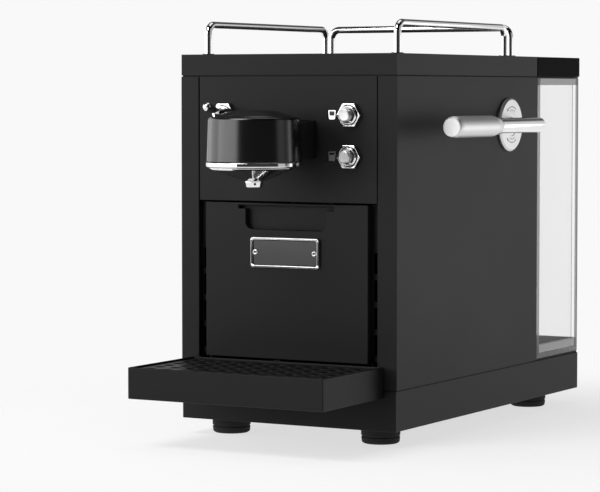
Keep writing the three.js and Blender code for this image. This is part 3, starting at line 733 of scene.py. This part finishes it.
def makeButton(name):
    low, _, mid, size = boxOf(name + "_button_body")
    radius, length = size.x / 2, size.y
    bore = boxOf(name + "_button_cap")[3].x / 2 + buttonLook["ringGap"]
    body = [(0, -buttonLook["bore"]), (bore, -buttonLook["bore"]), (bore, -0.6, 0.2)]
    body += [(radius - buttonLook["lip"], 0, 0.3), (radius, -0.8, 0.3)]
    body += [(r, -d) for r, d in threaded(radius, 1.6, length)]
    body += [(radius, -length), (0, -length)]
    made = turned(name + "_button_barrel", (0, -1, 0), (mid.x, low.y, mid.z), body, 72)
    dress(made, "casing", "chrome", [name + "_button_body"])
    makeNut(name + "_button_nut", name + "_button_body")

    low, _, mid, size = boxOf(name + "_button_cap")
    radius, length = size.x / 2, size.y
    dish, edge = buttonLook["capDish"], buttonLook["capEdge"]
    cap = [
        (0, -dish), (radius - 1.1, -dish * 0.4, 2), (radius - 0.7, 0, 0.2), (radius, -edge, 0.4),
        (radius, -length), (0, -length),
    ]
    made = turned(name + "_button_face", (0, -1, 0), (mid.x, low.y, mid.z), cap, 72)
    dress(made, name + "_button", "brushed_steel", [name + "_button_cap"])


lampLook = {"stroke": 0.62, "margin": 0.25, "rise": 0.06, "taper": 0.55, "lower": 0.75, "upper": 0.45}


# A little cup drawn on each lamp's window: a bowl with an open mouth, filled up to its own level.
def makeLamp(name, slotName):
    low, high, _, _ = boxOf(name + "_button_light")
    rim = roundRect((low.x, low.z), (high.x, high.z), 0.5, 4)
    window = plate(name + "_lamp_window", "xz", [rim], (low.y, high.y), 0.15)
    dress(window, "casing", slotName, [name + "_button_light"], material=finishes["satin_black"])
    margin, stroke, taper = lampLook["margin"], lampLook["stroke"], lampLook["taper"]
    left, right = low.x + margin, high.x - margin
    bottom, top = low.z + margin, high.z - margin
    outer = corners([
        (left, top, 0.3), (left + taper, bottom, 1.0), (right - taper, bottom, 1.0), (right, top, 0.3)])
    brim = top - stroke
    level = bottom + (brim - bottom) * lampLook[name]
    hole = corners([
        (left + stroke + 0.1, brim, 0.1), (right - stroke - 0.1, brim, 0.1),
        (right - stroke - taper * 0.5, level, 0.1), (left + stroke + taper * 0.5, level, 0.1)], 2)
    span = (low.y - lampLook["rise"], low.y + 0.2)
    drawing = plate(name + "_lamp_drawing", "xz", [outer, hole], span, 0.03, 1)
    dress(drawing, "casing", slotName)


toggleLook = {"bore": 4.2, "boreDepth": 11, "ball": 3.3, "stem": 1.9, "bat": 3.1, "tilt": 13}


def makeToggle():
    low, _, mid, size = boxOf("toggle_bushing")
    radius, length = size.x / 2, size.y
    bore, depth = toggleLook["bore"], toggleLook["boreDepth"]
    body = [(0, -depth), (bore, -depth), (bore, 0, 0.2), (radius - 0.5, 0, 0.2), (radius, -0.6, 0.2)]
    body += [(r, -d) for r, d in threaded(radius, 0.9, length)]
    body += [(radius, -length), (0, -length)]
    made = turned("toggle_barrel", (0, -1, 0), (mid.x, low.y, mid.z), body, 72)
    dress(made, "casing", "chrome", ["toggle_bushing"])
    makeNut("toggle_nut", "toggle_bushing")

    pivot = next(j for j in frame["joints"] if j["child"] == "power_toggle")["pos_m"]
    pivot = Vector(pivot) / toMetres
    tilt = math.radians(toggleLook["tilt"])
    out = Vector((0, -math.cos(tilt), math.sin(tilt)))
    ball, stem, bat = toggleLook["ball"], toggleLook["stem"], toggleLook["bat"]
    length = (pivot.y - boxOf("toggle_lever")[0].y) / math.cos(tilt) - bat * (1 / math.cos(tilt) - 1)
    outline = [(0, -ball)] + ballPoints(ball, 0, range(-75, 50, 15))
    outline += [(stem, 6.5, 2), (stem + 0.15, 9), (bat, length - bat - 2, 8), (bat, length - bat)]
    outline += ballPoints(bat, length - bat, range(15, 90, 15)) + [(0, length)]
    made = turned("toggle_bat", out, pivot, outline, 64)
    dress(made, "power_toggle", "chrome", ["toggle_lever"])


for buttonName in ("lower", "upper"):
    makeButton(buttonName)
makeLamp("lower", "unlit_window")
makeLamp("upper", "lit_window")
makeToggle()
print("front controls ready")


# Brewing lever

leverLook = {
    "plateEdge": 0.9, "hub": 8.2, "sleeve": 5.1, "sleeveEnd": 3.5, "markRadius": 12.6, "markWidth": 0.5,
    "arrow": 2.0, "ticks": 6, "marks": {"raise": (58, 122), "press": (-58, -122)},
}


def makeLeverPlate():
    low, high, mid, size = boxOf("lever_plate")
    radius, thick = size.y / 2, size.x
    hole = leverLook["sleeve"] + 0.3
    edge = leverLook["plateEdge"]
    outline = [
        (hole, 0), (radius, 0, 0.2), (radius, thick - edge - 0.3, 0.3), (radius - edge * 1.4, thick, 0.5),
        (leverLook["hub"], thick, 0.1), (leverLook["hub"] - 0.3, thick - 0.3, 0.1), (hole, thick - 0.3),
    ]
    made = turned("lever_disc", (1, 0, 0), (low.x, mid.y, mid.z), outline, 128)
    dress(made, "casing", "brushed_steel", ["lever_plate"])
    centre = (mid.y, mid.z)
    reach, width, arrow = leverLook["markRadius"], leverLook["markWidth"], leverLook["arrow"]
    face = (high.x - 0.15, high.x + 0.04)
    for name, (start, end) in leverLook["marks"].items():
        work = bmesh.new()
        addPlate(work, "yz", [arcBand(centre, reach, width, start, end)], face, 0.02, 1)
        tip = end + math.copysign(arrow * 5.5, end - start)
        head = []
        for out, angle in ((reach - arrow / 2, end), (reach + arrow / 2, end), (reach, tip)):
            t = math.radians(angle)
            head.append((centre[0] + out * math.cos(t), centre[1] + out * math.sin(t)))
        addPlate(work, "yz", [corners(head)], face, 0.02, 1)
        for i in range(leverLook["ticks"]):
            a = start + (end - start) * (0.1 + 0.14 * i)
            addPlate(work, "yz", [arcBand(centre, reach - 2.4, 1.5, a - 1.1, a + 1.1, 2)], face, 0.02, 1)
        dress(settle(work, f"lever_mark_{name}"), "casing", "brushed_steel", material=engraving)


gripLook = {"endFace": 6.3, "chamfer": 1.5, "grooveAt": 3.4, "groove": 0.25, "taper": 10}


def makeLever():
    low, _, mid, size = boxOf("lever_rod")
    radius, length = size.x / 2, size.y
    rod = [
        (0, 0), (radius, 0, 0.2), (radius, length - 4.6, 2.5), (radius * 0.78, length - 1.2, 2.5),
        (radius * 0.4, length - 0.15, 2), (0, length),
    ]
    made = turned("lever_bar", (0, 1, 0), (mid.x, low.y, mid.z), rod, 96)
    dress(made, "brew_lever", "chrome", ["lever_rod"])

    low, _, mid, size = boxOf("lever_grip")
    radius, length = size.x / 2, size.y
    inner = boxOf("lever_rod")[3].x / 2
    at, groove = gripLook["grooveAt"], gripLook["groove"]
    grip = [
        (0, 0.15), (gripLook["endFace"] - 0.5, 0.15, 0.3), (gripLook["endFace"], 0, 0.2),
        (radius, gripLook["chamfer"], 0.4), (radius, at - 0.3), (radius - groove, at), (radius, at + 0.3),
        (radius, length - gripLook["taper"], 5), (inner + 0.05, length, 0.4), (0, length),
    ]
    made = turned("lever_handle", (0, 1, 0), (mid.x, low.y, mid.z), grip, 96)
    dress(made, "brew_lever", "brushed_steel", ["lever_grip"])

    _, high, shaft, _ = boxOf("lever_plate")
    span = boxOf("lever_rod")[2].x - leverLook["sleeveEnd"] - high.x
    reach = leverLook["sleeve"]
    sleeve = [
        (0, -4), (reach, -4), (reach, 1.2), (reach - 0.35, 1.5), (reach, 1.8), (reach, span), (0, span)]
    made = turned("lever_sleeve", (1, 0, 0), (high.x, shaft.y, shaft.z), sleeve, 72)
    dress(made, "brew_lever", "chrome")


makeLeverPlate()
makeLever()
print("lever ready")


# Used-capsule drawer

drawerLook = {
    "edge": 0.6, "corner": 0.8, "scoopHalf": 30.8, "scoopDrop": 17.7, "scoopCorner": 5,
    "slotHalf": 36.4, "slotTop": 1.6, "slotHeight": 2.4, "depth": 4.7,
}


def makeDrawer():
    low, high, mid, _ = boxOf("drawer_front")
    look = drawerLook
    rim = roundRect((low.x, low.z), (high.x, high.z), look["corner"])
    floor = high.z - look["scoopDrop"]
    slotTop = high.z - look["slotTop"]
    slotLow = slotTop - look["slotHeight"]
    half, wide = look["scoopHalf"], look["slotHalf"]
    pocket = corners([
        (mid.x - wide, slotTop, 0.5), (mid.x - wide, slotLow, 0.5), (mid.x - half, slotLow, 1),
        (mid.x - half, floor, look["scoopCorner"]), (mid.x + half, floor, look["scoopCorner"]),
        (mid.x + half, slotLow, 1), (mid.x + wide, slotLow, 0.5), (mid.x + wide, slotTop, 0.5)], 8)
    split = low.y + look["depth"]
    work = bmesh.new()
    addPlate(work, "xz", [rim, pocket], (low.y, split), look["edge"], 4)
    addPlate(work, "xz", [rim], (split + 0.01, high.y), 0.2)
    dress(settle(work, "drawer_door"), "capsule_drawer", "black_steel", ["drawer_front"])
    dress(eased("capsule_bin", 0.8), "capsule_drawer", "black_plastic", ["capsule_bin"])


badgeLook = {"corner": 2.2, "frame": 1.8, "screwIn": 3.7, "screwRadius": 1.9, "socket": 0.8}


def makeBadge():
    low, high, _, _ = boxOf("badge_frame")
    wide = badgeLook["frame"]
    rim = roundRect((low.x, low.z), (high.x, high.z), badgeLook["corner"], 8)
    hole = roundRect((low.x + wide, low.z + wide), (high.x - wide, high.z - wide), 1.0, 6)
    made = plate("badge_border", "xz", [rim, hole], (low.y, high.y), 0.45)
    dress(made, "capsule_drawer", "chrome", ["badge_frame"])
    low, high, mid, _ = boxOf("badge_field")
    field = roundRect((low.x, low.z), (high.x, high.z), 0.8)
    made = plate("badge_panel", "xz", [field], (low.y, high.y), 0.15)
    dress(made, "capsule_drawer", "satin_black", ["badge_field"])
    front = boxOf("badge_frame")[0]
    reach, inset = badgeLook["screwRadius"], badgeLook["screwIn"]
    outline = [
        (0, -0.35), (0.75, -0.35), (0.75, 0.15, 0.1), (reach * 0.8, 0.15, 0.3), (reach, -0.15, 0.2),
        (reach, -0.9), (0, -0.9),
    ]
    for name, across in (("left", front.x + inset), ("right", 2 * mid.x - front.x - inset)):
        screw = turned(f"badge_screw_{name}", (0, -1, 0), (across, front.y + 0.15, mid.z), outline, 48)
        dress(screw, "capsule_drawer", "chrome")
        # A near-black hexagon stands for each screw's socket: painted shade in the recess.
        work = bmesh.new()
        hole = corners(hexagon((across, mid.z), badgeLook["socket"]))
        addPlate(work, "xz", [hole], (front.y + 0.25, front.y + 0.45), 0.02, 1)
        socket = settle(work, f"badge_screw_{name}_socket")
        dress(socket, "capsule_drawer", "satin_black", material=shadeFill)


makeDrawer()
makeBadge()
print("drawer ready")


# Drip tray

gridLook = {
    "pitchX": 12.4, "pitchY": 12, "columns": 11, "rows": 6, "lastRow": 9.7, "hole": 3.7, "edge": 0.35,
}


def makeTray():
    dress(eased("drip_tray", 0.6), "drip_tray", "black_steel", ["drip_tray"])
    low, high, mid, _ = boxOf("drip_grid")
    loops = [roundRect((low.x, low.y), (high.x, high.y), 1.0)]
    columns = gridLook["columns"]
    for row in range(gridLook["rows"]):
        y = high.y - gridLook["lastRow"] - row * gridLook["pitchY"]
        for column in range(columns):
            x = mid.x + (column - (columns - 1) / 2) * gridLook["pitchX"]
            loops.append(ring((x, y), gridLook["hole"], 28))
    made = plate("drip_plate", "xy", loops, (low.z, high.z), gridLook["edge"])
    dress(made, "drip_grid", "black_steel", ["drip_grid"])


makeTray()
print("drip tray ready")


# Water tank

tankLook = {
    "wall": 3.4, "corner": 2, "floor": 4, "frontBand": 5, "rearBand": 7, "lipBottom": 9.8,
    "lipTop": 4.8, "seam": 0.02, "stripInsets": (0.5, 2.5),
}


# Clear walls with a frosted lip at top and bottom. The ends of each side wall and the floor band are
# painted darker: painted shade, standing in for thick plastic seen edge on.
def makeTank():
    look = tankLook
    low, high, _, _ = boxOf("water_tank")
    wall, corner = look["wall"], look["corner"]
    front, back = low.y + look["frontBand"], high.y - look["rearBand"]
    outer = corners([
        (low.x, low.y, corner), (high.x, low.y, corner), (high.x, front), (high.x, back),
        (high.x, high.y, corner), (low.x, high.y, corner), (low.x, back), (low.x, front)], 8)
    inner = roundRect((low.x + wall, low.y + wall), (high.x - wall, high.y - wall), corner / 2, 8)
    _, _, port, across = boxOf("tank_valve")
    hole = ring((port.x, port.y), across.x / 2 + 0.4)
    floor, lip, brim = low.z + look["floor"], low.z + look["lipBottom"], high.z - look["lipTop"]
    bands = [
        ("tank_floor", hole, low.z, floor, edgeOnShade),
        ("tank_lower_lip", inner, floor, lip, frosted),
        ("tank_walls", inner, lip, brim, finishes["clear_plastic"]),
        ("tank_upper_lip", inner, brim, high.z, frosted),
    ]
    for name, opening, bottom, top, material in bands:
        made = plate(name, "xy", [outer, opening], (bottom, top - look["seam"]), 0.15, 1)
        replaced = ["water_tank"] if name == "tank_walls" else []
        dress(made, "water_tank", "clear_plastic", replaced, material)
        # Side faces at the wall ends take the painted edge-on shade.
        made.data.materials.append(edgeOnShade)
        for face in made.data.polygons:
            y = face.center.y / toMetres
            if abs(face.normal.x) > 0.25 and not front < y < back:
                face.material_index = 1
    # The tank lid takes the shaded copy of the black paint: painted shade.
    dress(eased("tank_lid", 0.9), "tank_lid", "black_steel", ["tank_lid"], lidSteelShaded)
    # Near-black strips in the gaps above and below the tank: painted shade.
    gaps = {
        "tank_lid_shade_strip": ("tank_lid", high.z, boxOf("top_lid")[0].z),
        "tank_base_shade_strip": ("casing", boxOf("base_pan")[1].z, low.z),
    }
    loops = []
    for inset in look["stripInsets"]:
        start = (low.x + inset, low.y + inset)
        loops.append(roundRect(start, (high.x - inset, high.y - inset), corner / 2))
    for name, (body, bottom, top) in gaps.items():
        made = plate(name, "xy", loops, (bottom + shadeStripLook["slack"], top - shadeStripLook["slack"]), 0.1, 1)
        dress(made, body, "black_rubber", material=shadeFill)


makeTank()
print("water tank ready")


# The inner parts keep their CAD shape and take their slot's finish.

slotOf = {part["node"]: part["material_slot"] for part in frame["record"]["subparts"]}
for node, shape in frame["nodes"].items():
    shape.data.materials.clear()
    shape.data.materials.append(finishes[slotOf[node]])
print("inner parts finished")


# Studio

cameraLook = {
    "lens": 155.9, "azimuth": 29.30, "drop": 3.403, "aim": (0.0075, -0.13085, 0.1327), "distance": 1.7,
}


def makeCamera():
    turn, drop = math.radians(cameraLook["azimuth"]), math.radians(cameraLook["drop"])
    back = Vector((math.sin(turn) * math.cos(drop), -math.cos(turn) * math.cos(drop), math.sin(drop)))
    data = bpy.data.cameras.new("camera")
    data.lens = cameraLook["lens"]
    camera = bpy.data.objects.new("camera", data)
    camera.location = Vector(cameraLook["aim"]) + back * cameraLook["distance"]
    camera.rotation_euler = back.to_track_quat("Z", "Y").to_euler()
    scene.collection.objects.link(camera)
    scene.camera = camera
    return back


roomLook = {
    "bright": 0.945, "side": 0.66, "dark": 0.035, "level": 0.3, "high": 0.4, "far": 0.1,
    "below": (0.11, 0.17),
}


# Pale behind the machine, to its right and underfoot; dark overhead and before its right front corner.
def makeRoom(back):
    world = bpy.data.worlds.new("studio")
    scene.world = world
    world.use_nodes = True
    graph = Graph(world.node_tree)
    toward = graph.add("TexCoord", {}, {}, "Generated")
    facing = graph.add("VectorMath", {"operation": "DOT_PRODUCT"}, {0: toward, 1: tuple(back)}, "Value")
    height = graph.add("SeparateXYZ", {}, {0: toward}, "Z")
    bright, side, dark, far = (roomLook[key] for key in ("bright", "side", "dark", "far"))
    shade = graph.ramp(
        facing * 0.5 + 0.5,
        (0.0, bright), (1.0, dark), (0.08, bright), (0.2, side), (0.42, side), (0.58, dark))
    level = graph.ramp(height, (0.0, 1.0), (1.0, far), (roomLook["level"], 1.0), (roomLook["high"], far))
    start, full = roomLook["below"]
    below = graph.ramp(height * -1.0, (0.0, 0.0), (1.0, 1.0), (start, 0.0), (full, 1.0))
    walls = graph.blend(below, shade * level, grey(bright))
    graph.feed(world.node_tree.nodes["Background"].inputs["Color"], walls)


# Each light's place, aim and size in metres, and its power in watts.
lightLook = {
    "front_left_box": ((-1.0, -1.3, 0.52), (0, 0, 0.15), (1.7, 0.95), 15),
    "left_box": ((-1.5, -0.1, 0.45), (0, 0, 0.15), (1.2, 0.9), 3.5),
    "high_front_box": ((-0.35, -1.0, 1.35), (0, -0.1, 0.2), (0.9, 0.5), 13),
    "top_box": ((0, 0.1, 1.3), (0, 0.05, 0.2), (0.8, 0.8), 2),
    "right_box": ((1.5, 0.1, 0.6), (0, 0, 0.15), (0.6, 1.0), 1),
    "low_right_box": ((0.55, 0.5, 0.14), (0.07, -0.02, 0.06), (0.5, 0.3), 0.45),
}


def makeSoftbox(name, place, aim, size, power):
    data = bpy.data.lights.new(name, "AREA")
    data.shape = "RECTANGLE"
    data.size, data.size_y = size
    data.energy = power
    light = bpy.data.objects.new(name, data)
    light.location = place
    light.rotation_euler = (Vector(place) - Vector(aim)).to_track_quat("Z", "Y").to_euler()
    scene.collection.objects.link(light)


floorLook = {
    "radius": 2.4, "drop": 0.2, "solid": 0.16, "gone": 0.42, "tone": 0.35, "lift": 0.68, "fibre": 300,
}


def makeFloor():
    work = bmesh.new()
    bmesh.ops.create_circle(work, cap_ends=True, segments=96, radius=floorLook["radius"] / toMetres)
    bmesh.ops.translate(work, vec=(0, 0, -floorLook["drop"]), verts=work.verts)
    floor = settle(work, "floor")
    finish = Finish("floor_paper", {"Roughness": 0.9, "Specular IOR Level": 0.1})
    away = finish.add("VectorMath", {"operation": "LENGTH"}, {0: finish.place}, "Value")
    fade = finish.add("MapRange", {"interpolation_type": "SMOOTHSTEP"}, {
        "Value": away, "From Min": floorLook["solid"], "From Max": floorLook["gone"],
        "To Min": 1.0, "To Max": 0.0})
    fibre = finish.noise(finish.place, floorLook["fibre"], 3)
    tone = floorLook["tone"]
    finish.paint("Base Color", finish.blend(fibre, grey(tone), grey(tone * 0.98)))
    finish.paint("Emission Color", finish.blend(fibre, grey(1), grey(0.98)))
    finish.paint("Emission Strength", floorLook["lift"])
    finish.paint("Alpha", fade)
    floor.data.materials.append(finish.material)


scene.view_settings.view_transform = "Standard"
makeRoom(makeCamera())
makeFloor()
for name, settings in lightLook.items():
    makeSoftbox(name, *settings)
print("studio ready")
